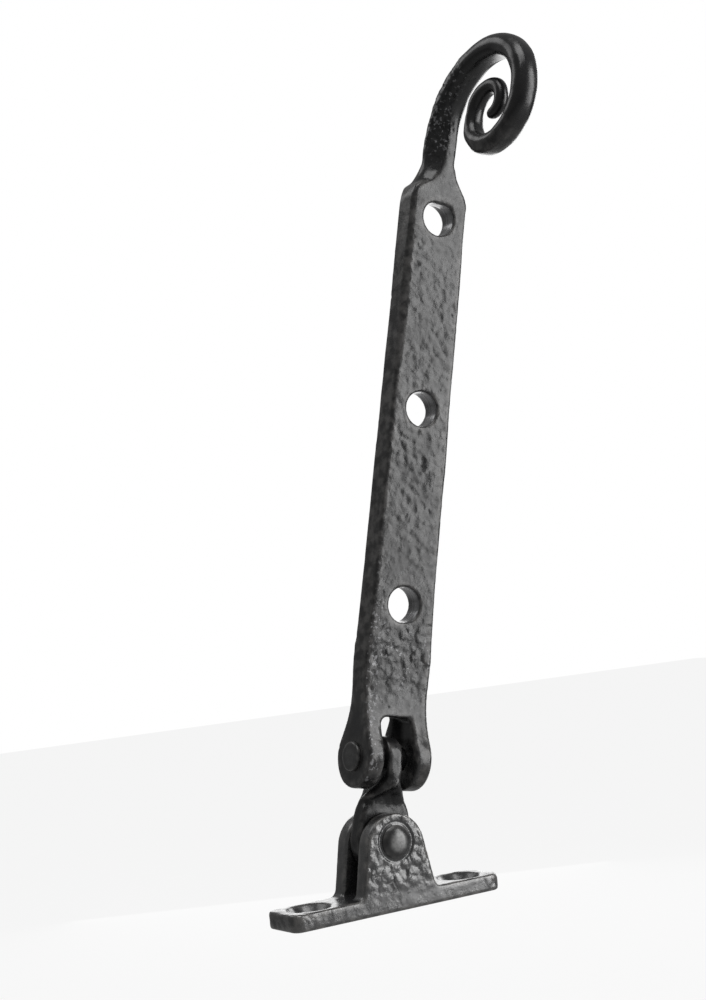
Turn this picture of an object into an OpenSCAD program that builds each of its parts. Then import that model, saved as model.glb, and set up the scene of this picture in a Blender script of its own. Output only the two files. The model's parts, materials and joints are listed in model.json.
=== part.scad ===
// Casement window stay: a plate bracket, a twisted swivel link on two crossed
// rivets, and a cast arm with peg holes that ends in a scroll.
// The plate's back face lies on z = 0, with the bracket rivet above the origin.

/* [Bracket plate] */
// Length of the plate, along X
plate_l = 56; // [52:1:70]
// Width of the plate, along Y
plate_w = 13; // [12.8:0.2:16]
// Thickness of the plate
plate_t = 3.9; // [3:0.1:5]
// Corner radius of the plate
plate_corner_r = 2.2; // [1:0.1:4]
// Distance between the two screw holes
screw_spacing = 41; // [38:0.5:42]
// Diameter of a screw's clearance hole
screw_d = 4.8; // [4:0.1:5.5]
// Diameter of a countersink at the face
countersink_d = 10.5; // [8:0.1:11]

/* [Bracket ears] */
// Height of the bracket rivet above the plate's back face
pin_1_h = 15.4; // [15:0.1:18]
// Gap between the two ears
ear_gap = 4.9; // [4.6:0.1:5.5]
// Radius of an ear's rounded top
ear_r = 7.8; // [7:0.1:8.2]
// Drop from the rivet's axis to the centre of that radius
ear_drop = 1.4; // [0.5:0.1:1.6]
// Lean of an ear's side edges from the upright
ear_side_lean = 11; // [8:1:12]
// Fillet where an ear's side edge meets the plate
ear_fillet_r = 1.8; // [1.1:0.1:2]

/* [Swivel link] */
// Distance between the two crossed rivets
link_l = 18.5; // [18.5:0.1:21]
// Radius of the lower eye
eye_r = 7.1; // [6.5:0.1:7.3]
// Thickness of the lower eye
eye_t = 4.3; // [4:0.05:4.3]
// Radius of the upper tongue
tongue_r = 5.1; // [4.6:0.1:5.3]
// Thickness of the upper tongue
tongue_t = 3.8; // [3:0.1:5]

/* [Stay arm] */
// Width of the arm across the fork
arm_w_fork = 17; // [16:0.1:18]
// Width of the arm below the shoulders
arm_w_top = 15.2; // [13.5:0.1:16]
// Thickness of the arm's flat bar
arm_t = 5.5; // [4.5:0.1:6]
// Radius of the fork's ears
fork_r = 7.2; // [6.8:0.1:7.2]
// Width of the fork's slot
slot_w = 8.8; // [8.6:0.1:9.2]
// Depth of the fork's slot above the arm rivet
slot_h = 9.6; // [9:0.1:11]
// Height of the first peg hole above the arm rivet
peg_hole_z = 35.5; // [30:0.5:40]
// Distance between peg holes
peg_pitch = 46; // [40:1:46]
// Diameter of a peg hole
peg_hole_d = 8.2; // [7:0.1:8.5]
// Height of the shoulders above the arm rivet
shoulder_z = 133; // [133:1:140]

/* [Scroll] */
// Length of the straight stem below the scroll
stem_l = 14; // [12:0.5:18]
// Lean of the stem towards the scroll
stem_lean = 7; // [4:1:9]
// Centreline radius of each quarter turn of the scroll
scroll_radii = [19, 12, 11, 7.5, 6.5, 3.75, 3];
// Half thickness of the scroll's bar, at the stem
scroll_half_t = 3; // [2.8:0.1:3.2]
// Half thickness of the scroll's bar, at the tip
tip_half_t = 1.4; // [1.2:0.1:1.5]
// Width of the bar over its thickness, at the stem
stem_ratio = 1.35; // [1.2:0.05:1.4]
// Width of the bar over its thickness, at the tip
tip_ratio = 1.1; // [1.05:0.05:1.2]

/* [Rivets] */
// Radius of the bracket rivet's shank
pin_1_r = 2.5; // [2.2:0.1:2.8]
// Radius of the bracket rivet's domed heads
dome_r = 4.1; // [3.6:0.1:4.5]
// Height of those heads
dome_h = 1.7; // [1.2:0.1:2]
// Radius of the arm rivet's shank
pin_2_r = 2.4; // [2:0.1:2.6]
// Radius of the arm rivet's low heads
disc_r = 3.4; // [3.1:0.1:4]
// Height of those heads
disc_h = 1.2; // [0.8:0.1:1.3]
// Radial running clearance of the link on each rivet
running_gap = 0.06; // [0.02:0.01:0.1]

/* [Rest position] */
// Lean of the link along the plate
link_lean = 10.5; // [-20:0.5:20]
// Lean of the arm on the link, towards the scroll's side
arm_lean = 4.5; // [-20:0.5:20]

/* [Hidden] */
$fn = 96;

black = "#1c1c1d";
steel_black = "#252526";
through = 1;                       // how far a cutter runs past a face

ear_t = (plate_w - ear_gap) / 2;
ear_c = pin_1_h - ear_drop;        // height of the ear radius's centre
countersink_h = (countersink_d - screw_d) / 2;

eye_round_z = 6;                   // where the eye starts to round in, above its rivet
eye_neck_z = 9.3;                  // where the link thickens above the ears
waist_z = eye_neck_z + 1.2;        // where the round waist starts
link_waist_r = 5.5;                // largest radius of the link above its eye
link_front = [[eye_r, 0], [6.6, 5], [5.7, 8.4], [4.9, 10.3], [4.1, 11.3],
              [2.9, 12.7], [tongue_t / 2, 14.5]];
link_side = [[eye_t / 2, eye_neck_z], [3.4, 10.6], [4.9, 12], [5.3, 14]];

flare_r = 30;                      // hollow that runs from the bar to the fork
flare_y = arm_t / 2 + flare_r;
flare_z = sqrt(pow(fork_r + flare_r, 2) - flare_y * flare_y);
flare_in = atan2(flare_z, flare_y);
flare_steps = 12;
fork_straight_z = 14;              // height to which the fork's sides stay parallel
slot_corner_r = 2;
shoulder_h = 6;                    // height over which the shoulders close
shoulder_soft = 1;                 // softening of the shoulders' corners
stem_half_w = scroll_half_t * stem_ratio;
stem_foot = [1.1, shoulder_z + 1]; // y and z of the stem's lower end
swell_root = shoulder_z - 1;       // where the bar starts to swell into the stem
swell_z = [shoulder_z + 2, shoulder_z + 8];
swell_back = [3.9, 3.4];           // the swelling's y at those two heights, behind
swell_front = [2.4, 2.3];          // and in front

quarter = 90;
pieces_per_quarter = 3;
scroll_pieces = len(scroll_radii) * pieces_per_quarter;
overlap = 2;                       // degrees that each piece runs back into the last one
stem_end = stem_foot + stem_l * [-sin(stem_lean), cos(stem_lean)];

function heading(i) = stem_lean + quarter * i;
function outward(i) = [cos(heading(i)), sin(heading(i))];
function arc_centre(i) =
    i == 0 ? stem_end - scroll_radii[0] * outward(0)
           : arc_centre(i - 1) + (scroll_radii[i - 1] - scroll_radii[i]) * outward(i);
function along(a, b, t) = a + (b - a) * t;
function flipped(points) = [for (i = [len(points) - 1:-1:0]) [-points[i][0], points[i][1]]];

// Puts a drawing with its own x and y into the XZ plane, centred across Y
module front_view(depth) {
    rotate([90, 0, 0])
        linear_extrude(height = depth, center = true)
            children();
}

// Puts a drawing with its own x and y into the YZ plane, centred across X
module side_view(depth) {
    rotate([90, 0, 90])
        linear_extrude(height = depth, center = true)
            children();
}

module rounded_rectangle(l, w, r) {
    square([l - 2 * r, w], center = true);
    square([l, w - 2 * r], center = true);
    for (x = [-1, 1], y = [-1, 1])
        translate([x * (l / 2 - r), y * (w / 2 - r)])
            circle(r = r);
}

// Round-ended bar section, half_t thick each way along x and wider along y
module bar_section(half_t, ratio) {
    straight = 2 * half_t * (ratio - 1);
    square([2 * half_t, straight], center = true);
    for (s = [-1, 1])
        translate([0, s * straight / 2])
            circle(r = half_t);
}

// Bell-shaped ear: a round top, leaning sides and a fillet to the plate
module ear_outline() {
    a = ear_side_lean;
    tangent = [ear_r * cos(a), ear_c + ear_r * sin(a)];
    foot_x = tangent[0] + (tangent[1] - plate_t) * tan(a);
    fillet_x = foot_x - ear_fillet_r * tan(a) + ear_fillet_r / cos(a);
    fillet_z = plate_t + ear_fillet_r;
    touch = [fillet_x - ear_fillet_r * cos(a), fillet_z - ear_fillet_r * sin(a)];
    translate([0, ear_c])
        circle(r = ear_r);
    polygon([[-foot_x, 0], [foot_x, 0], [foot_x, plate_t], tangent,
             [-tangent[0], tangent[1]], [-foot_x, plate_t]]);
    for (s = [0, 1])
        mirror([s, 0])
            difference() {
                polygon([[foot_x - ear_fillet_r, plate_t / 2], [fillet_x, plate_t / 2],
                         [fillet_x, plate_t], touch]);
                translate([fillet_x, fillet_z])
                    circle(r = ear_fillet_r);
            }
}

module screw_hole(x) {
    translate([x, 0, -through])
        cylinder(h = plate_t + 2 * through, d = screw_d);
    translate([x, 0, plate_t - countersink_h])
        cylinder(h = countersink_h, d1 = screw_d, d2 = countersink_d);
    translate([x, 0, plate_t])
        cylinder(h = through, d = countersink_d);
}

module bracket() {
    color(black)
        difference() {
            union() {
                linear_extrude(height = plate_t)
                    rounded_rectangle(plate_l, plate_w, plate_corner_r);
                for (s = [-1, 1])
                    translate([0, s * (plate_w - ear_t) / 2, 0])
                        front_view(ear_t)
                            ear_outline();
            }
            translate([0, 0, pin_1_h])
                rotate([90, 0, 0])
                    cylinder(h = plate_w + 2 * through, r = pin_1_r, center = true);
            for (s = [-1, 1])
                screw_hole(s * screw_spacing / 2);
        }
}

// Domed rivet head that stands on z = 0
module domed_head() {
    ball_r = (dome_r * dome_r + dome_h * dome_h) / (2 * dome_h);
    intersection() {
        translate([0, 0, dome_h - ball_r])
            sphere(r = ball_r);
        cylinder(h = dome_h + through, r = dome_r + through);
    }
}

module bracket_rivet() {
    color(steel_black)
        translate([0, 0, pin_1_h])
            rotate([90, 0, 0]) {
                cylinder(h = plate_w, r = pin_1_r, center = true);
                for (s = [0, 1])
                    mirror([0, 0, s])
                        translate([0, 0, plate_w / 2])
                            domed_head();
            }
}

// Moves a shape drawn about the bracket rivet to the link's rest position
module on_link() {
    translate([0, 0, pin_1_h])
        rotate([0, link_lean, 0])
            children();
}

// Moves a shape drawn about the arm rivet to the arm's rest position
module on_arm() {
    on_link()
        translate([0, 0, link_l])
            rotate([arm_lean, 0, 0])
                children();
}

// The link seen from the plate's side: a round eye that narrows to the tongue
module link_front_outline() {
    top = link_l + tongue_r;
    circle(r = eye_r);
    polygon(concat(link_front, [[tongue_t / 2, top], [-tongue_t / 2, top]],
                   flipped(link_front)));
}

// The link seen from the plate's end: a thin eye that widens to a round tongue
module link_side_outline() {
    foot = -eye_r;
    translate([0, link_l])
        circle(r = tongue_r);
    polygon(concat([[eye_t / 2, foot]], link_side, [[tongue_r, link_l], [-tongue_r, link_l]],
                   flipped(link_side), [[-eye_t / 2, foot]]));
}

// Round envelope that takes the corners off the link's waist
module link_envelope() {
    r = eye_r + through;
    rotate_extrude()
        polygon([[0, -r], [r, -r], [r, eye_round_z], [link_waist_r, waist_z],
                 [link_waist_r, link_l + r], [0, link_l + r]]);
}

module swivel_link() {
    color(black)
        on_link()
            difference() {
                intersection() {
                    front_view(4 * tongue_r)
                        link_front_outline();
                    side_view(4 * eye_r)
                        link_side_outline();
                    link_envelope();
                }
                rotate([90, 0, 0])
                    cylinder(h = 4 * eye_t, r = pin_1_r + running_gap, center = true);
                translate([0, 0, link_l])
                    rotate([0, 90, 0])
                        cylinder(h = 4 * tongue_t, r = pin_2_r + running_gap, center = true);
            }
}

// Low flat rivet head with a bevelled rim, on z = 0
module low_head() {
    bevel = disc_h / 3;
    cylinder(h = disc_h - bevel, r = disc_r);
    translate([0, 0, disc_h - bevel])
        cylinder(h = bevel, r1 = disc_r, r2 = disc_r - bevel);
}

module arm_rivet() {
    color(steel_black)
        on_arm()
            rotate([0, 90, 0]) {
                cylinder(h = arm_w_fork, r = pin_2_r, center = true);
                for (s = [0, 1])
                    mirror([0, 0, s])
                        translate([0, 0, arm_w_fork / 2])
                            low_head();
            }
}

// The arm's front outline: straight across the fork, a long taper, then shoulders
module arm_front_outline() {
    soft = shoulder_soft;
    neck_z = shoulder_z + shoulder_h;
    edge = [[arm_w_fork / 2, -fork_r], [arm_w_fork / 2, fork_straight_z],
            [arm_w_top / 2, shoulder_z - soft], [arm_w_top / 2 - 0.6 * soft, shoulder_z + soft],
            [stem_half_w + 0.4 * soft, neck_z - soft], [stem_half_w - 0.2 * soft, neck_z + 1.5 * soft]];
    polygon(concat(edge, flipped(edge)));
}

// The arm's side outline: round ears that hollow down to the bar, which swells at the stem
module arm_side_outline() {
    flare = [for (i = [0:flare_steps])
        let (a = flare_in * (1 - i / flare_steps))
            [flare_y - flare_r * cos(a), flare_z - flare_r * sin(a)]];
    back = concat([[0, 0]], flare, [[arm_t / 2, swell_root],
                  [swell_back[0], swell_z[0]], [swell_back[1], swell_z[1]]]);
    front = [[-swell_front[1], swell_z[1]], [-swell_front[0], swell_z[0]],
             [-arm_t / 2, swell_root]];
    circle(r = fork_r);
    polygon(concat(back, front, flipped(flare)));
}

// The tapering scroll, one short arc of a turn at a time
module scroll() {
    translate([0, stem_foot[0], stem_foot[1]])
        rotate([stem_lean, 0, 0])
            linear_extrude(height = stem_l)
                rotate(quarter)
                    bar_section(scroll_half_t, stem_ratio);
    rotate([quarter, 0, quarter])
        for (i = [0:len(scroll_radii) - 1], j = [0:pieces_per_quarter - 1])
            let (t = (i * pieces_per_quarter + j + 0.5) / scroll_pieces,
                 piece_angle = quarter / pieces_per_quarter)
                translate(arc_centre(i))
                    rotate(heading(i) + j * piece_angle - overlap)
                        rotate_extrude(angle = piece_angle + overlap)
                            translate([scroll_radii[i], 0])
                                bar_section(along(scroll_half_t, tip_half_t, t),
                                            along(stem_ratio, tip_ratio, t));
    last = len(scroll_radii) - 1;
    tip = arc_centre(last) + scroll_radii[last] * outward(last + 1);
    translate([0, tip[0], tip[1]])
        sphere(r = tip_half_t - 0.1);
}

module fork_slot() {
    inner = slot_w - 2 * slot_corner_r;
    top = slot_h - slot_corner_r;
    front_view(4 * fork_r) {
        translate([-slot_w / 2, -2 * fork_r])
            square([slot_w, 2 * fork_r + top]);
        translate([-inner / 2, 0])
            square([inner, slot_h]);
        for (s = [-1, 1])
            translate([s * inner / 2, top])
                circle(r = slot_corner_r);
    }
}

module stay_arm() {
    color(black)
        on_arm()
            difference() {
                union() {
                    intersection() {
                        front_view(4 * fork_r)
                            arm_front_outline();
                        side_view(2 * arm_w_fork)
                            arm_side_outline();
                    }
                    scroll();
                }
                fork_slot();
                rotate([0, 90, 0])
                    cylinder(h = 2 * arm_w_fork, r = pin_2_r, center = true);
                for (i = [0:2])
                    translate([0, 0, peg_hole_z + i * peg_pitch])
                        rotate([90, 0, 0])
                            cylinder(h = 4 * arm_t, d = peg_hole_d, center = true);
            }
}

bracket();
bracket_rivet();
swivel_link();
arm_rivet();
stay_arm();
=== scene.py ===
"""Looks of a cast casement window stay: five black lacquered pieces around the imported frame.

Each piece starts from its CAD node's surface as a field of signed distances, in millimetres
and in the piece's own frame. The field is softened as a casting's edges are, cut and filled
where the metal is, meshed, and then pressed with the lumps and pits of sand-cast iron.
"""

import itertools
import json
import math

import bpy
import numpy as np
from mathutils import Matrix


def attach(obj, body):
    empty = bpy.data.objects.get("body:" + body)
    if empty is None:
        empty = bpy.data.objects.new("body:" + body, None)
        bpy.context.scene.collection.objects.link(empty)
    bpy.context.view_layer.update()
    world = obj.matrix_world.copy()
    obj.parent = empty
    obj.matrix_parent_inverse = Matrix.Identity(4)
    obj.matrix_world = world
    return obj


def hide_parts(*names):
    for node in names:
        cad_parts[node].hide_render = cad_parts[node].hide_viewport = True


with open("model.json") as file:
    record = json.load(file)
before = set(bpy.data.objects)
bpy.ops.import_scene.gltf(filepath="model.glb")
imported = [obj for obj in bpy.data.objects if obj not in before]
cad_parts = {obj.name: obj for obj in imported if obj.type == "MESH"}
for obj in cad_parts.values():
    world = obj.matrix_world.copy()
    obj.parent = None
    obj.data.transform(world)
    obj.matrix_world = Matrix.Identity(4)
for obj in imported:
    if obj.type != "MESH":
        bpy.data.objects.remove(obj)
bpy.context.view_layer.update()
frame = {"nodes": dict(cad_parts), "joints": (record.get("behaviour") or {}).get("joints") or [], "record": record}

import openvdb
from mathutils import Euler, Vector
from mathutils.kdtree import KDTree

MM = 0.001
record = frame["record"]
joints = {j["name"]: j for j in frame["joints"]}
mounts = {m["name"]: m for m in record["mounts"]}


# ---------------------------------------------------------------- own frames, in mm

class Place:
    """A piece's own frame: its origin in the row frame, and its axes as rows."""

    def __init__(self, origin, x_axis, z_axis):
        z = np.array(z_axis, float) / np.linalg.norm(z_axis)
        x = np.array(x_axis, float) - np.dot(x_axis, z) * z
        x /= np.linalg.norm(x)
        self.origin = np.array(origin, float) / MM
        self.axes = np.array([x, np.cross(z, x), z])

    def inward(self, points):
        """Row frame in metres to own frame in mm."""
        return (points / MM - self.origin) @ self.axes.T

    def outward(self, points):
        """Own frame in mm to row frame in metres."""
        return (points @ self.axes + self.origin) * MM


pin_1 = np.array(joints["bracket_on_link_rivet"]["pos_m"])
pin_2 = np.array(joints["link_on_arm_rivet"]["pos_m"])
pin_2_axis = joints["link_on_arm_rivet"]["axis"]
peg_line = np.subtract(mounts["peg_hole_upper"]["pos_m"], mounts["peg_hole_lower"]["pos_m"])

bracket_place = Place((0, 0, 0), (1, 0, 0), (0, 0, 1))
link_place = Place(pin_1, pin_2_axis, pin_2 - pin_1)
arm_place = Place(pin_2, pin_2_axis, peg_line)

peg_holes = [arm_place.inward(np.array(mounts["peg_hole_" + level]["pos_m"]))
             for level in ("lower", "middle", "upper")]
peg_hole_r = mounts["peg_hole_upper"]["dims"]["r_mm"]
arm_half_t = mounts["peg_hole_upper"]["dims"]["length_mm"] / 2
shoulder_z = peg_holes[2][2] + 5.5         # where the arm's sides turn in to the stem
pin_1_h = pin_1[2] / MM


# ---------------------------------------------------------------- small mathematics

def ramp(value, start, end):
    """Smooth step from 0 at start to 1 at end; start may be the larger."""
    t = np.clip((value - start) / (end - start), 0, 1)
    return t * t * (3 - 2 * t)


def smooth_max(a, b, blend):
    """The larger of two distances, with the edge where they meet rounded over blend mm."""
    h = np.clip(0.5 + 0.5 * (a - b) / blend, 0, 1)
    return b + (a - b) * h + blend * h * (1 - h)


def lattice(points, size, seed):
    """Points in cells of that size, in a frame turned by the seed: cell numbers and places in them."""
    turn = np.array(Euler((0.7 + seed, 1.1 * seed, 0.4)).to_matrix())
    turned = points @ turn / size
    cell = np.floor(turned)
    return cell.astype(int), turned - cell


def noise(points, size, seed):
    """Smooth value noise from -1 to 1, the same each run."""
    side = 32
    table = np.random.default_rng(seed).uniform(-1, 1, (side, side, side))
    cell, t = lattice(points, size, seed)
    t = t * t * t * (t * (6 * t - 15) + 10)
    total = np.zeros(len(points))
    for corner in itertools.product((0, 1), repeat=3):
        weight = np.prod(np.where(corner, t, 1 - t), axis=1)
        i, j, k = ((cell + corner) % side).T
        total += weight * table[i, j, k]
    return total


def cells(points, size, seed):
    """Distance to the nearest of scattered centres that lie about size apart, over size."""
    side = 16
    table = np.random.default_rng(seed).uniform(0, 1, (side, side, side, 3))
    cell, t = lattice(points, size, seed)
    nearest = np.full(len(points), 9.0)
    for step in itertools.product((-1, 0, 1), repeat=3):
        i, j, k = ((cell + step) % side).T
        nearest = np.minimum(nearest, np.linalg.norm(table[i, j, k] + step - t, axis=1))
    return nearest


# ---------------------------------------------------------------- fields of distances

class Field:
    """Signed distances in mm from a CAD node's surface, on a grid in the piece's own frame."""

    def __init__(self, node, place, voxel, band=9):
        mesh = frame["nodes"][node].data
        mesh.calc_loop_triangles()
        points = np.empty(3 * len(mesh.vertices), np.float32)
        mesh.vertices.foreach_get("co", points)
        triangles = np.empty(3 * len(mesh.loop_triangles), np.int32)
        mesh.loop_triangles.foreach_get("vertices", triangles)
        own = place.inward(points.reshape(-1, 3).astype(float)) / voxel
        grid = openvdb.FloatGrid.createLevelSetFromPolygons(
            own.astype(np.float32), triangles=triangles.reshape(-1, 3).astype(np.uint32), halfWidth=band)
        low, high = (np.array(corner) for corner in grid.evalActiveVoxelBoundingBox())
        self.d = np.empty(high - low + 1, np.float32)
        grid.copyToArray(self.d, ijk=tuple(int(i) for i in low))
        self.d *= voxel
        self.low, self.voxel, self.far = low, voxel, band * voxel
        shapes = ((-1, 1, 1), (1, -1, 1), (1, 1, -1))
        self.x, self.y, self.z = (((low[i] + np.arange(self.d.shape[i])) * voxel).reshape(shapes[i])
                                  .astype(np.float32) for i in range(3))

    def middle(self, axis):
        """The middle of the grid, which lies on the axis of a piece turned about that axis."""
        centre = (self.low + (np.array(self.d.shape) - 1) / 2) * self.voxel
        centre[axis] = 0
        return centre

    def softened(self, sigma):
        """The distances blurred over sigma mm, which rounds edges and fills corners."""
        reach = int(math.ceil(2.5 * sigma / self.voxel))
        offsets = np.arange(-reach, reach + 1)
        weights = np.exp(-0.5 * (offsets * self.voxel / sigma) ** 2)
        weights /= weights.sum()
        result = self.d
        for axis in range(3):
            padding = [(reach, reach) if a == axis else (0, 0) for a in range(3)]
            padded = np.pad(result, padding, mode="edge")
            length = result.shape[axis]
            result = sum(w * padded.take(range(i, i + length), axis=axis).astype(np.float32)
                         for i, w in enumerate(weights))
        return result.astype(np.float32)

    def cut(self, cutter, blend):
        """Takes away where cutter, a distance, is below zero."""
        self.d = smooth_max(self.d, -cutter, blend).astype(np.float32)

    def fill(self, filler, blend):
        """Adds metal where filler, a distance, is below zero."""
        self.d = -smooth_max(-self.d, -filler, blend).astype(np.float32)

    def sample(self, values, points):
        """Values on the grid read at points, between the grid's own."""
        place = points / self.voxel - self.low
        cell = np.clip(np.floor(place).astype(int), 0, np.array(values.shape) - 2)
        t = place - cell
        total = np.zeros(len(points))
        for corner in itertools.product((0, 1), repeat=3):
            weight = np.prod(np.where(corner, t, 1 - t), axis=1)
            i, j, k = (cell + corner).T
            total += weight * values[i, j, k]
        return total

    def surface(self):
        """The zero surface as points in mm and quads."""
        grid = openvdb.FloatGrid(self.far / self.voxel)
        grid.copyFromArray(self.d / self.voxel, ijk=tuple(int(i) for i in self.low))
        points, quads = grid.convertToQuads(0.0)
        return points.astype(float) * self.voxel, quads.astype(int)[:, ::-1]


# ---------------------------------------------------------------- meshes

class Skin:
    """A closed mesh in its own frame, in mm, that can be pressed along its normals."""

    def __init__(self, points, quads):
        self.points, self.quads = points, quads
        a, b, c, d = (points[quads[:, i]] for i in range(4))
        if np.sum(np.cross(c - a, d - b) * (a + b + c + d)) < 0:
            self.quads = quads[:, ::-1]
        self.normals = self.vertex_normals()

    def vertex_normals(self):
        a, b, c, d = (self.points[self.quads[:, i]] for i in range(4))
        facing = np.cross(c - a, d - b)
        count = len(self.points)
        total = np.stack([sum(np.bincount(self.quads[:, i], facing[:, axis], count) for i in range(4))
                          for axis in range(3)], axis=1)
        return total / np.maximum(np.linalg.norm(total, axis=1, keepdims=True), 1e-12)

    def press(self, height):
        """Moves each point out by its height in mm."""
        self.points = self.points + self.normals * np.asarray(height)[:, None]

    def pits(self, chance, radius, depth, seed):
        """Presses small round pits at points picked with that chance each."""
        random = np.random.default_rng(seed)
        picked = np.flatnonzero(random.uniform(0, 1, len(self.points)) < chance)
        tree = KDTree(len(self.points))
        for i, point in enumerate(self.points):
            tree.insert(point, i)
        tree.balance()
        height = np.zeros(len(self.points))
        for i in picked:
            r = radius * random.uniform(0.6, 1.4)
            deep = depth * random.uniform(0.4, 1.2)
            for _, j, distance in tree.find_range(self.points[i], r):
                height[j] = min(height[j], -deep * (1 - (distance / r) ** 2) ** 2)
        self.press(height)

    def piece(self, name, place, attributes):
        """The finished object in the row frame, with its values for the material."""
        mesh = bpy.data.meshes.new(name)
        mesh.from_pydata(place.outward(self.points).tolist(), [], self.quads.tolist())
        mesh.shade_smooth()
        for key, values in attributes.items():
            attribute = mesh.attributes.new(key, "FLOAT", "POINT")
            attribute.data.foreach_set("value", np.asarray(values, np.float32))
        obj = bpy.data.objects.new(name, mesh)
        bpy.context.scene.collection.objects.link(obj)
        return obj


# ---------------------------------------------------------------- materials

# painted shade: a darker copy of the black lacquer, used on the link
painted_shade_black = (0.007, 0.007, 0.0075, 1.0)
black = (0.010, 0.010, 0.0105, 1.0)
# painted light: a lighter copy of the black lacquer, used on the bracket so that its ears come out brighter
painted_lit_black = (0.020, 0.020, 0.021, 1.0)
# edge colours: lacquer worn thin on the edges, and also a painted highlight for the light that the edges catch
grey_edge_wear_and_highlight = (0.085, 0.082, 0.080, 1.0)
light_edge_wear_and_highlight = (0.12, 0.115, 0.11, 1.0)
bright_edge_wear_and_highlight = (0.17, 0.165, 0.16, 1.0)
# light grey on the rivets' flat tops: rubbed metal, and also a painted highlight
rubbed_grey_and_highlight = (0.20, 0.20, 0.195, 1.0)
# painted glints: a light grey for flecks that stand in for glints on the arm
painted_glint_grey = (0.30, 0.30, 0.31, 1.0)
drilled_dull = (0.10, 0.10, 0.10, 1.0)
drilled_bright = (0.42, 0.42, 0.43, 1.0)
satin = (0.22, 0.34)                       # least and greatest roughness


def lacquer(name, dark, wear_and_highlight, roughness, grain, peel, specular=0.5, rubbed_and_highlight=None, drilled=False):
    """Black lacquer over cast iron: blotches, edges lightened both as thin spots and as a painted highlight, fine
    grain and varied gloss.

    The mesh's values say where: edge (thin spots, lightened also as a painted highlight), cast (the casting's
    grain), rubbed (a colour that shows through, also a painted highlight on the rivets' tops), and on a drilled
    piece bare (the holes' walls), depth and specks (painted glints).
    """
    material = bpy.data.materials.new(name)
    material.use_nodes = True
    nodes, links = material.node_tree.nodes, material.node_tree.links
    shader = nodes["Principled BSDF"]
    shader.inputs["Specular IOR Level"].default_value = specular
    shader.inputs["Coat Weight"].default_value = 0.25
    shader.inputs["Coat Roughness"].default_value = 0.22
    place = nodes.new("ShaderNodeTexCoord").outputs["Object"]

    def texture(size, detail, distortion=0.0):
        node = nodes.new("ShaderNodeTexNoise")
        node.inputs["Scale"].default_value = 1 / (size * MM)
        node.inputs["Detail"].default_value = detail
        node.inputs["Distortion"].default_value = distortion
        links.new(place, node.inputs["Vector"])
        return node.outputs["Fac"]

    def mapped(value, low, high, to_low, to_high):
        node = nodes.new("ShaderNodeMapRange")
        limits = {"From Min": low, "From Max": high, "To Min": to_low, "To Max": to_high}
        for socket, number in limits.items():
            node.inputs[socket].default_value = number
        links.new(value, node.inputs["Value"])
        return node.outputs["Result"]

    def mixed(share, first, second):
        node = nodes.new("ShaderNodeMix")
        node.data_type = "RGBA"
        links.new(share, node.inputs["Factor"])
        for socket, colour in (("A", first), ("B", second)):
            target = [s for s in node.inputs if s.name == socket and s.type == "RGBA"][0]
            if isinstance(colour, tuple):
                target.default_value = colour
            else:
                links.new(colour, target)
        return [s for s in node.outputs if s.type == "RGBA"][0]

    def product(a, b):
        node = nodes.new("ShaderNodeMath")
        node.operation = "MULTIPLY"
        links.new(a, node.inputs[0])
        links.new(b, node.inputs[1])
        return node.outputs["Value"]

    def value_of(attribute):
        node = nodes.new("ShaderNodeAttribute")
        node.attribute_name = attribute
        return node.outputs["Fac"]

    # edges lightened: worn lacquer there, and a painted highlight along them
    thin_and_lit = product(mapped(value_of("edge"), 0.10, 0.34, 0.0, 1.0),
                   mapped(texture(2.2, 4), 0.42, 0.62, 0.15, 1.0))
    blotch = mapped(texture(9.0, 5), 0.3, 0.7, 0.0, 1.0)
    light = tuple(1.35 * c for c in dark[:3]) + (1.0,)
    colour = mixed(thin_and_lit, mixed(blotch, dark, light), wear_and_highlight)
    # rubbed colour: partly wear and partly a painted highlight
    if rubbed_and_highlight:
        share = product(value_of("rubbed_and_highlight"), mapped(texture(0.8, 4), 0.3, 0.6, 0.4, 1.0))
        colour = mixed(share, colour, rubbed_and_highlight)
    if drilled:
        bare = value_of("bare")
        rings = nodes.new("ShaderNodeTexNoise")
        rings.noise_dimensions = "1D"
        rings.inputs["Scale"].default_value = 4.0
        rings.inputs["Detail"].default_value = 4.0
        links.new(value_of("depth"), rings.inputs["W"])
        streaks = mapped(rings.outputs["Fac"], 0.35, 0.65, 0.0, 1.0)
        colour = mixed(bare, colour, mixed(streaks, drilled_dull, drilled_bright))
        links.new(mapped(bare, 0.0, 1.0, 0.0, 0.9), shader.inputs["Metallic"])
        # painted glints: light grey flecks, placed by the mesh's speck value and a fine noise
        glint_share = product(value_of("glint_specks"), mapped(texture(0.8, 2), 0.58, 0.66, 0.0, 1.0))
        colour = mixed(glint_share, colour, painted_glint_grey)
    links.new(colour, shader.inputs["Base Color"])

    gloss = nodes.new("ShaderNodeMath")
    gloss.operation = "ADD"
    links.new(mapped(texture(1.3, 5), 0.3, 0.7, roughness[0], roughness[1]), gloss.inputs[0])
    links.new(mapped(texture(7.0, 3), 0.3, 0.7, -0.05, 0.05), gloss.inputs[1])
    links.new(gloss.outputs["Value"], shader.inputs["Roughness"])

    cast = value_of("cast")
    normal = None
    for size, detail, share, distance in ((2.0 * grain, 1, cast, 1.6 * peel),
                                          (0.9 * grain, 2, cast, 0.5 * peel),
                                          (0.5, 5, None, 0.02)):
        bump = nodes.new("ShaderNodeBump")
        bump.inputs["Distance"].default_value = distance * MM
        height = texture(size, detail, 0.4)
        links.new(product(height, share) if share else height, bump.inputs["Height"])
        if normal:
            links.new(normal, bump.inputs["Normal"])
        normal = bump.outputs["Normal"]
    links.new(normal, shader.inputs["Normal"])
    return material


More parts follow.
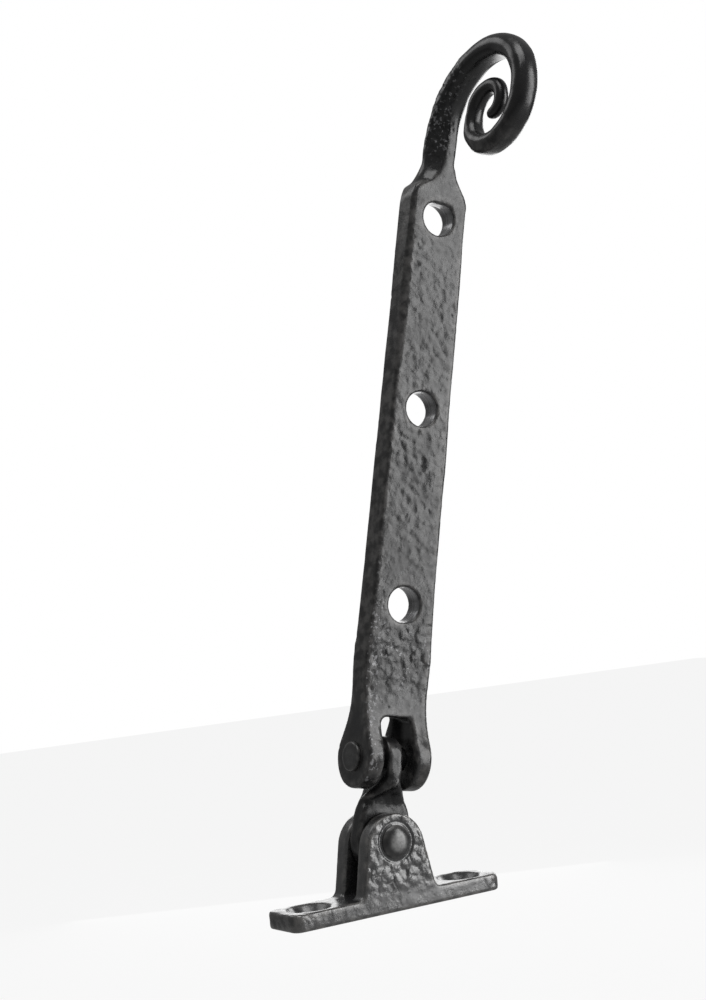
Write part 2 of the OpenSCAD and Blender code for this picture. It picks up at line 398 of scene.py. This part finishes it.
# the link's darker black is painted shade: the same lacquer as the arm, darkened to stand in for the shadow it
# lies in
shaded_link_lacquer = lacquer("shaded_link_lacquer", painted_shade_black, grey_edge_wear_and_highlight, satin, grain=0.7, peel=0.10, specular=0.3)
arm_lacquer = lacquer("arm_lacquer", black, grey_edge_wear_and_highlight, satin, grain=1.0, peel=0.12, specular=0.34,
                      drilled=True)
# the bracket's lighter black is painted light: the same lacquer as the arm, lightened so that the ears read
# brighter
lit_cast_lacquer = lacquer("lit_cast_lacquer", painted_lit_black, light_edge_wear_and_highlight, satin, grain=0.8, peel=0.12, specular=1.0)
# the rivets' lacquer: edges and rubbed tops are lightened, partly as wear and partly as a painted highlight
smooth_lacquer = lacquer("smooth_lacquer", black, bright_edge_wear_and_highlight, (0.24, 0.34), grain=0.7, peel=0.03,
                         rubbed_and_highlight=rubbed_grey_and_highlight)


def finish_piece(obj, node, body, material):
    obj.data.materials.append(material)
    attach(obj, body)
    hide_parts(node)


# ---------------------------------------------------------------- the arm

def cut_left_flat(f):
    """Cuts a flat at 45 degrees along the front face's left edge, widest below the upper hole."""
    diagonal = 0.707
    half_w = 8.5 - 0.9 * np.clip((f.z - 14) / 118, 0, 1)
    heights = [78, 92, 108, 122, shoulder_z, shoulder_z + 3]
    width = np.interp(f.z, heights, [-1.0, 0.6, 1.0, 0.7, 0.5, -1.0])
    slope = (half_w + f.x + f.y + arm_half_t - width) * diagonal
    past_its_ends = np.abs(f.z - 107) - 28.5
    f.cut(np.maximum(slope, past_its_ends), 0.15)


def run_front_up(f, up):
    """Runs the front face over the shoulders and up the stem, as a flat that narrows to a point.

    Left of the flat the metal falls away to the stem's round side. up is the height above the
    shoulders. Returns the flat's left edge at each height.
    """
    front = np.interp(up, [-2, 4, 8, 15, 19, 24], [-arm_half_t, -2.72, -2.85, -3.75, -4.5, -6.2])
    left = np.interp(up, [-2, -1, 1, 5, 7.5, 24], [7.6, 7.6, 7.0, 4.4, 3.8, 3.4])
    right = np.interp(up, [-2, -1, 1, 5, 8, 14, 22], [7.6, 7.6, 7.0, 4.3, 3.3, 3.1, 2.6])
    left_edge = np.interp(up, [0.3, 1.6, 2.3, 3.5, 6, 8, 14, 18, 26],
                          [-9.5, -6.2, -4.8, -2.7, -1.0, -0.5, -0.2, 0.2, 0.8])
    flat = np.maximum(front - f.y, np.maximum(f.x - right, -f.x - left) + 0.15)
    flat = np.maximum(flat, np.maximum(left_edge - 0.5 - f.x, f.y - 0.5))
    f.fill(np.maximum(flat, np.abs(up - 10) - 12), 0.5)

    slant = math.radians(38)
    bevel = (f.x - left_edge) * math.sin(slant) + (f.y - front) * math.cos(slant)
    past_its_ends = 9 * ramp(up, 16, 30) + 9 * ramp(up, 1, -1)
    on_scroll = -13 - f.y
    f.cut(np.maximum(bevel + past_its_ends, on_scroll), 0.4)
    return left_edge


def lean_slot_wall(f):
    """Leans the slot's right wall in towards the back, inside the fork's hollow flare."""
    flare_r, flare_z = 30, 17.64
    wall = 4.4 - 1.7 * ramp(f.y, -1.5, 3.5) - f.x
    flare = flare_r - np.hypot(np.abs(f.y) - (flare_r + arm_half_t), f.z - flare_z)
    within = np.maximum(f.x - 6, np.abs(f.z - 7) - 3.5)
    f.fill(np.maximum(np.maximum(wall, flare + 0.3), within), 0.8)


def arm():
    """The cast arm: fork, drafted bar with peg holes, shoulders, faceted stem and scroll."""
    f = Field("stay_arm", arm_place, voxel=0.33)
    up = f.z - shoulder_z
    cut_left_flat(f)
    left_edge = run_front_up(f, up)
    lean_slot_wall(f)

    # edges: crisp on the bar, soft on the scroll, softest where the left shoulder sweeps up
    scroll = ramp(up, 12, 22)
    sweep = ramp(f.x, left_edge - 0.4, left_edge - 1.8) * ramp(up, -0.5, 1.5) * (1 - ramp(up, 7, 11))
    crisp, soft = f.softened(0.28), f.softened(0.85)
    f.d = (crisp * (1 - scroll) + soft * scroll) * (1 - sweep) + f.softened(1.3) * sweep
    edge = f.softened(1.3)

    # the bar's draft: wider at the back than in front, and widest near the fork
    skin = Skin(*f.surface())
    x, y, z = skin.points.T
    on_bar = ramp(z, 8, 22) * (1 - ramp(z, shoulder_z - 3, shoulder_z + 3))
    broad = 0.02 + 0.05 * np.clip(y / (2 * arm_half_t) + 0.5, 0, 1) + 0.035 * np.exp(-((z - 22) / 9) ** 2)
    skin.points[:, 0] *= 1 + broad * on_bar

    # where each kind of surface is, from 0 to 1
    p, facing = skin.points, skin.normals
    on_stem = ramp(z, shoulder_z + 6, shoulder_z + 14)
    flat = ramp(np.abs(facing[:, 1]), 0.55, 0.85) * (1 - on_stem)
    beside_holes = np.ones(len(z))
    bare = np.zeros(len(z))
    for hole in peg_holes:
        away = np.hypot(x - hole[0], z - hole[2]) - peg_hole_r
        beside_holes *= ramp(away, 0.2, 1.4)
        bare = np.maximum(bare, ramp(away, 0.35, 0.05) * ramp(np.abs(facing[:, 1]), 0.6, 0.3))
    off_rivet = ramp(np.hypot(y, z), 3.4, 4.6)
    left = ramp(-x, 4.5, 6.8)
    low = np.exp(-((z - 23) / 8) ** 2)
    patchy = 0.55 + 0.6 * ramp(noise(p, 16, 6), -0.5, 0.6) - 0.25 * low
    calm = 1 - 0.6 * ramp(z, shoulder_z - 12, shoulder_z - 4)
    crust = on_stem * (1 - ramp(z, shoulder_z + 28, shoulder_z + 36))
    crust *= ramp(-facing[:, 0], -0.1, 0.5) * ramp(y, -14, -9)

    # lumps on the flat faces, a rougher patch low on the bar, and crust on the stem's left side
    lumps = 0.04 * noise(p, 3.4, 2) + 0.04 * noise(p, 1.2, 4)
    lumps += 0.14 * (0.55 - cells(p * (0.8, 1.0, 1.1), 1.7, 11)) * ramp(z, 20, 80)
    rough_patch = 0.05 * noise(p, 1.2, 7) + 0.10 * ramp(noise(p, 1.9, 17), 0.25, 0.6)
    height = 0.10 * (1 - 0.6 * on_stem) * noise(p, 12, 1) + flat * beside_holes * patchy * calm * lumps
    height += flat * beside_holes * low * rough_patch
    height += (1 - flat) * (0.03 * noise(p, 3.2, 9) + (0.01 + 0.10 * crust) * noise(p, 1.2, 8))
    skin.press(height * np.clip(off_rivet, 0.1, 1))
    chance = flat * beside_holes * (0.0002 + 0.004 * left * (1 - ramp(z, 60, 90)) + 0.003 * low)
    skin.pits(chance + 0.07 * crust, radius=0.55, depth=0.14, seed=9)

    # painted glints: light flecks in a patch low on the bar, along its left edge, and on the stem's crust
    glint_specks = low * ramp(noise(p, 3.0, 19), 0.0, 0.4) + 0.8 * left * ramp(z, 60, 20)
    obj = skin.piece("cast_arm", arm_place, {
        "edge": f.sample(edge, skin.points) * (1 - 0.85 * on_stem),
        "cast": 0.2 - 0.14 * on_stem + 0.45 * flat * calm + 0.7 * crust,
        "bare": bare,
        "glint_specks": 0.5 * crust + flat * beside_holes * np.clip(glint_specks, 0, 1),
        "depth": skin.points[:, 1]})
    finish_piece(obj, "stay_arm", "arm", arm_lacquer)


# ---------------------------------------------------------------- the bracket

def bracket():
    """The cast bracket: a plate with rough ends, and ears hammered outside and grooved round the rivet."""
    f = Field("bracket", bracket_place, voxel=0.21)
    f.d = f.softened(0.36)
    edge = f.softened(1.0)
    skin = Skin(*f.surface())
    p = skin.points
    x, y, z = p.T
    outer = ramp(np.abs(skin.normals[:, 1]), 0.6, 0.9) * ramp(np.abs(y), 4.5, 5.5)
    ear = outer * ramp(z, 3, 7)
    ends = ramp(np.abs(x), 20, 25)
    above_back = ramp(z, 0.0, 0.6)
    from_pin = np.hypot(x, z - pin_1_h)
    off_rivet = ramp(from_pin, 3.9, 4.9)
    groove = 0.22 * outer * np.exp(-((from_pin - 4.35) / 0.35) ** 2)

    hammered = 0.13 * (0.55 - cells(p, 1.9, 23)) + 0.08 * noise(p, 1.3, 24) + 0.10 * noise(p, 2.6, 25)
    height = 0.06 * noise(p, 9, 21) + 0.02 * noise(p, 1.8, 22)
    height += ear * off_rivet * hammered + (1 - ear) * (0.02 + 0.07 * ends) * noise(p, 1.4, 26)
    skin.press(height * above_back * np.clip(off_rivet, 0.1, 1) - groove)
    obj = skin.piece("cast_bracket", bracket_place, {
        "edge": f.sample(edge, skin.points),
        "cast": 0.3 + 0.7 * np.maximum(ear, 0.5 * ends)})
    finish_piece(obj, "bracket", "bracket", lit_cast_lacquer)


# ---------------------------------------------------------------- the link

def link():
    """The twisted link: a round eye below, a tongue across it above, and a rough web between."""
    f = Field("swivel_link", link_place, voxel=0.15)
    length = np.linalg.norm(pin_2 - pin_1) / MM
    melt = ramp(f.z, 6.5, 9.5) * (1 - ramp(f.z, 13.5, 16))
    f.d = f.softened(0.4) * (1 - melt) + f.softened(0.95) * melt
    eye_bore_r, tongue_bore_r = 2.68, 2.58     # a little over the rivets' shanks
    f.cut(np.hypot(f.x, f.z) - eye_bore_r, 0.1)
    f.cut(np.hypot(f.y, f.z - length) - tongue_bore_r, 0.1)
    edge = f.softened(0.9)

    skin = Skin(*f.surface())
    p = skin.points
    x, y, z = p.T
    waist = ramp(z, 7, 9) * (1 - ramp(z, 13, 15))
    off_rivets = ramp(np.hypot(x, z), 2.8, 3.6) * ramp(np.hypot(y, z - length), 2.7, 3.5)
    height = 0.05 * noise(p, 5, 31) + 0.02 * noise(p, 1.2, 32)
    height += waist * (0.14 * noise(p, 2.4, 33) + 0.04 * noise(p, 0.9, 34))
    for side in (-1, 1):
        along = -side * x
        across = (z - 11.4) - 0.62 * (along + 2.0)
        facing = ramp(side * y, -1.0, 1.0)
        web = np.exp(-(across / 0.5) ** 2) * facing * ramp(along, -6.5, -4.5) * ramp(along, 1.8, 0.4)
        hollow = np.exp(-((across + 1.6) / 1.1) ** 2) * facing * waist
        height += 0.40 * web * (1 + 0.6 * noise(p, 0.9, 35))
        height -= 0.35 * hollow
    skin.press(height * off_rivets)
    obj = skin.piece("cast_link", link_place, {
        "edge": f.sample(edge, skin.points),
        "cast": 0.15 + 0.6 * waist})
    finish_piece(obj, "swivel_link", "link", shaded_link_lacquer)


# ---------------------------------------------------------------- the rivets

def rivet(name, node, body, place, top, wear_and_highlight):
    """A set rivet with its heads' tops hammered flat at top mm from the middle, and lightened there, partly as
    rubbed metal and partly as a painted highlight.
    """
    f = Field(node, place, voxel=0.11)
    axis = int(np.argmax(f.d.shape))
    along = (f.x, f.y, f.z)[axis]
    f.cut(top - np.abs(along), 0.5)
    f.d = f.softened(0.16)
    edge = f.softened(0.5)

    skin = Skin(*f.surface())
    p = skin.points
    radius = np.hypot(*np.delete(p - f.middle(axis), axis, axis=1).T)
    skin.press(0.02 * noise(p, 1.5, 41) + 0.03 * noise(p, 4, 42))
    # the heads' flat tops are lightened: rubbed wear, and a painted highlight
    rubbed_and_highlight = wear_and_highlight * ramp(radius, 2.9, 1.4) * (0.75 + 0.35 * noise(p, 1.4, 43))
    obj = skin.piece(name, place, {
        "edge": f.sample(edge, p),
        "cast": np.ones(len(p)),
        "rubbed_and_highlight": np.clip(rubbed_and_highlight, 0, 1)})
    finish_piece(obj, node, body, smooth_lacquer)


arm()
bracket()
link()
rivet("domed_rivet", "bracket_rivet", "bracket", bracket_place, top=7.85, wear_and_highlight=1.0)
rivet("flat_rivet", "arm_rivet", "arm", arm_place, top=9.6, wear_and_highlight=0.15)


# ---------------------------------------------------------------- floor, light and camera

def studio():
    """White to the eye all round; to the object, a dim room in which the softboxes stand out."""
    world = bpy.data.worlds.new("studio")
    bpy.context.scene.world = world
    world.use_nodes = True
    nodes, links = world.node_tree.nodes, world.node_tree.links
    nodes["Background"].inputs["Color"].default_value = (1, 1, 1, 1)
    nodes["Background"].inputs["Strength"].default_value = 0.22
    backdrop = nodes.new("ShaderNodeBackground")
    backdrop.inputs["Color"].default_value = (1, 1, 1, 1)
    seen = nodes.new("ShaderNodeMixShader")
    links.new(nodes.new("ShaderNodeLightPath").outputs["Is Camera Ray"], seen.inputs["Fac"])
    links.new(nodes["Background"].outputs["Background"], seen.inputs[1])
    links.new(backdrop.outputs["Background"], seen.inputs[2])
    links.new(seen.outputs["Shader"], nodes["World Output"].inputs["Surface"])

    half_size, level = 3.0, -0.13              # well below the bracket's swing
    mesh = bpy.data.meshes.new("floor")
    corners = ((-1, -1), (1, -1), (1, 1), (-1, 1))
    mesh.from_pydata([(x * half_size, y * half_size, level) for x, y in corners], [], [(0, 1, 2, 3)])
    floor = bpy.data.objects.new("floor", mesh)
    bpy.context.scene.collection.objects.link(floor)
    pale = bpy.data.materials.new("pale_floor")
    pale.use_nodes = True
    nodes, links = pale.node_tree.nodes, pale.node_tree.links
    shader = nodes["Principled BSDF"]
    shader.inputs["Base Color"].default_value = (0.45, 0.45, 0.45, 1)
    shader.inputs["Roughness"].default_value = 0.9
    glow = nodes.new("ShaderNodeEmission")
    share = nodes.new("ShaderNodeMath")
    share.operation = "MULTIPLY"
    share.inputs[1].default_value = 0.9
    links.new(nodes.new("ShaderNodeLightPath").outputs["Is Camera Ray"], share.inputs[0])
    seen = nodes.new("ShaderNodeMixShader")
    links.new(share.outputs["Value"], seen.inputs["Fac"])
    links.new(shader.outputs["BSDF"], seen.inputs[1])
    links.new(glow.outputs["Emission"], seen.inputs[2])
    links.new(seen.outputs["Shader"], nodes["Material Output"].inputs["Surface"])
    mesh.materials.append(pale)


def softbox(name, location, target, size, power):
    data = bpy.data.lights.new(name, "AREA")
    data.shape = "RECTANGLE"
    data.size, data.size_y = size
    data.energy = power
    light = bpy.data.objects.new(name, data)
    light.location = location
    light.visible_camera = False
    light.rotation_euler = (Vector(target) - Vector(location)).to_track_quat("-Z", "Y").to_euler()
    bpy.context.scene.collection.objects.link(light)


def camera():
    data = bpy.data.cameras.new("camera")
    data.lens = 58.25
    data.sensor_width = 36
    obj = bpy.data.objects.new("camera", data)
    heading, pitch, roll = (math.radians(a) for a in (32.74, 4.33, -6.0))
    turn = (Euler((0, 0, -heading)).to_matrix() @ Euler((math.pi / 2 + pitch, 0, 0)).to_matrix()
            @ Euler((0, 0, roll)).to_matrix())
    obj.rotation_euler = turn.to_euler()
    obj.location = (-0.2008, -0.3158, 0.0652)
    bpy.context.scene.collection.objects.link(obj)
    bpy.context.scene.camera = obj


studio()
softbox("key", (0.50, -0.58, 0.24), (0, 0, 0.24), (0.26, 0.72), 3.5)
softbox("top", (-0.05, -0.25, 0.80), (0, 0, 0.10), (0.50, 0.40), 2.3)
softbox("rim", (0.75, 0.35, 0.25), (0, 0, 0.10), (0.30, 0.60), 1.7)
softbox("back", (-0.36, 0.56, 0.78), (0, 0, 0.15), (0.50, 0.44), 1.1)
softbox("back_fill", (0.42, 0.72, 0.10), (0, 0, 0.08), (0.40, 0.60), 1.4)
camera()
bpy.context.scene.view_settings.view_transform = "Standard"
